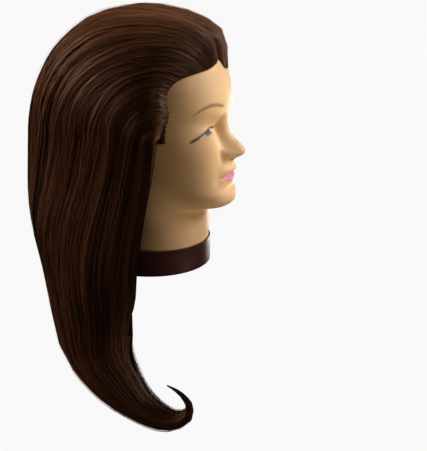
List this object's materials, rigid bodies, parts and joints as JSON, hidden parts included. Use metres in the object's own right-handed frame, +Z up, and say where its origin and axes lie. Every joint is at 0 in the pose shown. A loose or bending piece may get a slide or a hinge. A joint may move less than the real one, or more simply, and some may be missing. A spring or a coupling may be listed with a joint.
{
  "type": "mannequin training head",
  "caption": "Adult training head of soft vinyl over a foam core, with long brown hair combed back, a round neck collar and a socket for a clamp post.",
  "frame": {"origin": "centre of the clamp socket's mouth, level with the underside of the base", "axes": "+Z up along the neck, the face looks along -Y, the head's own right side is -X"},
  "size_m": [0.1787, 0.244, 0.4679],
  "materials": {
    "skin_vinyl": "satin",
    "core_foam": "matte",
    "collar_plastic": "gloss",
    "base_plastic": "satin",
    "scalp": "matte",
    "hair": "satin"
  },
  "bodies": {
    "head": {"head_skin": "skin_vinyl", "foam_core": "core_foam", "neck_collar": "collar_plastic", "base_plate": "base_plastic", "clamp_socket": "base_plastic", "scalp_cap": "scalp", "hair_front_right": "hair", "hair_front_left": "hair", "hair_crown_right": "hair", "hair_crown_left": "hair", "hair_side_right": "hair", "hair_side_left": "hair", "hair_back_right": "hair", "hair_back_left": "hair", "hair_nape_right": "hair", "hair_nape_left": "hair"},
    "hair_length": {"hair_length_upper": "hair", "hair_length_middle": "hair", "hair_length_lower": "hair", "hair_tip_curl": "hair"}
  },
  "joints": [
    {"name": "hair_swing", "type": "hinge", "parent": "head", "child": "hair_length", "pos_m": [0, 0.064, -0.062], "axis": [1, 0, 0], "range_deg": [-12, 35]}
  ]
}
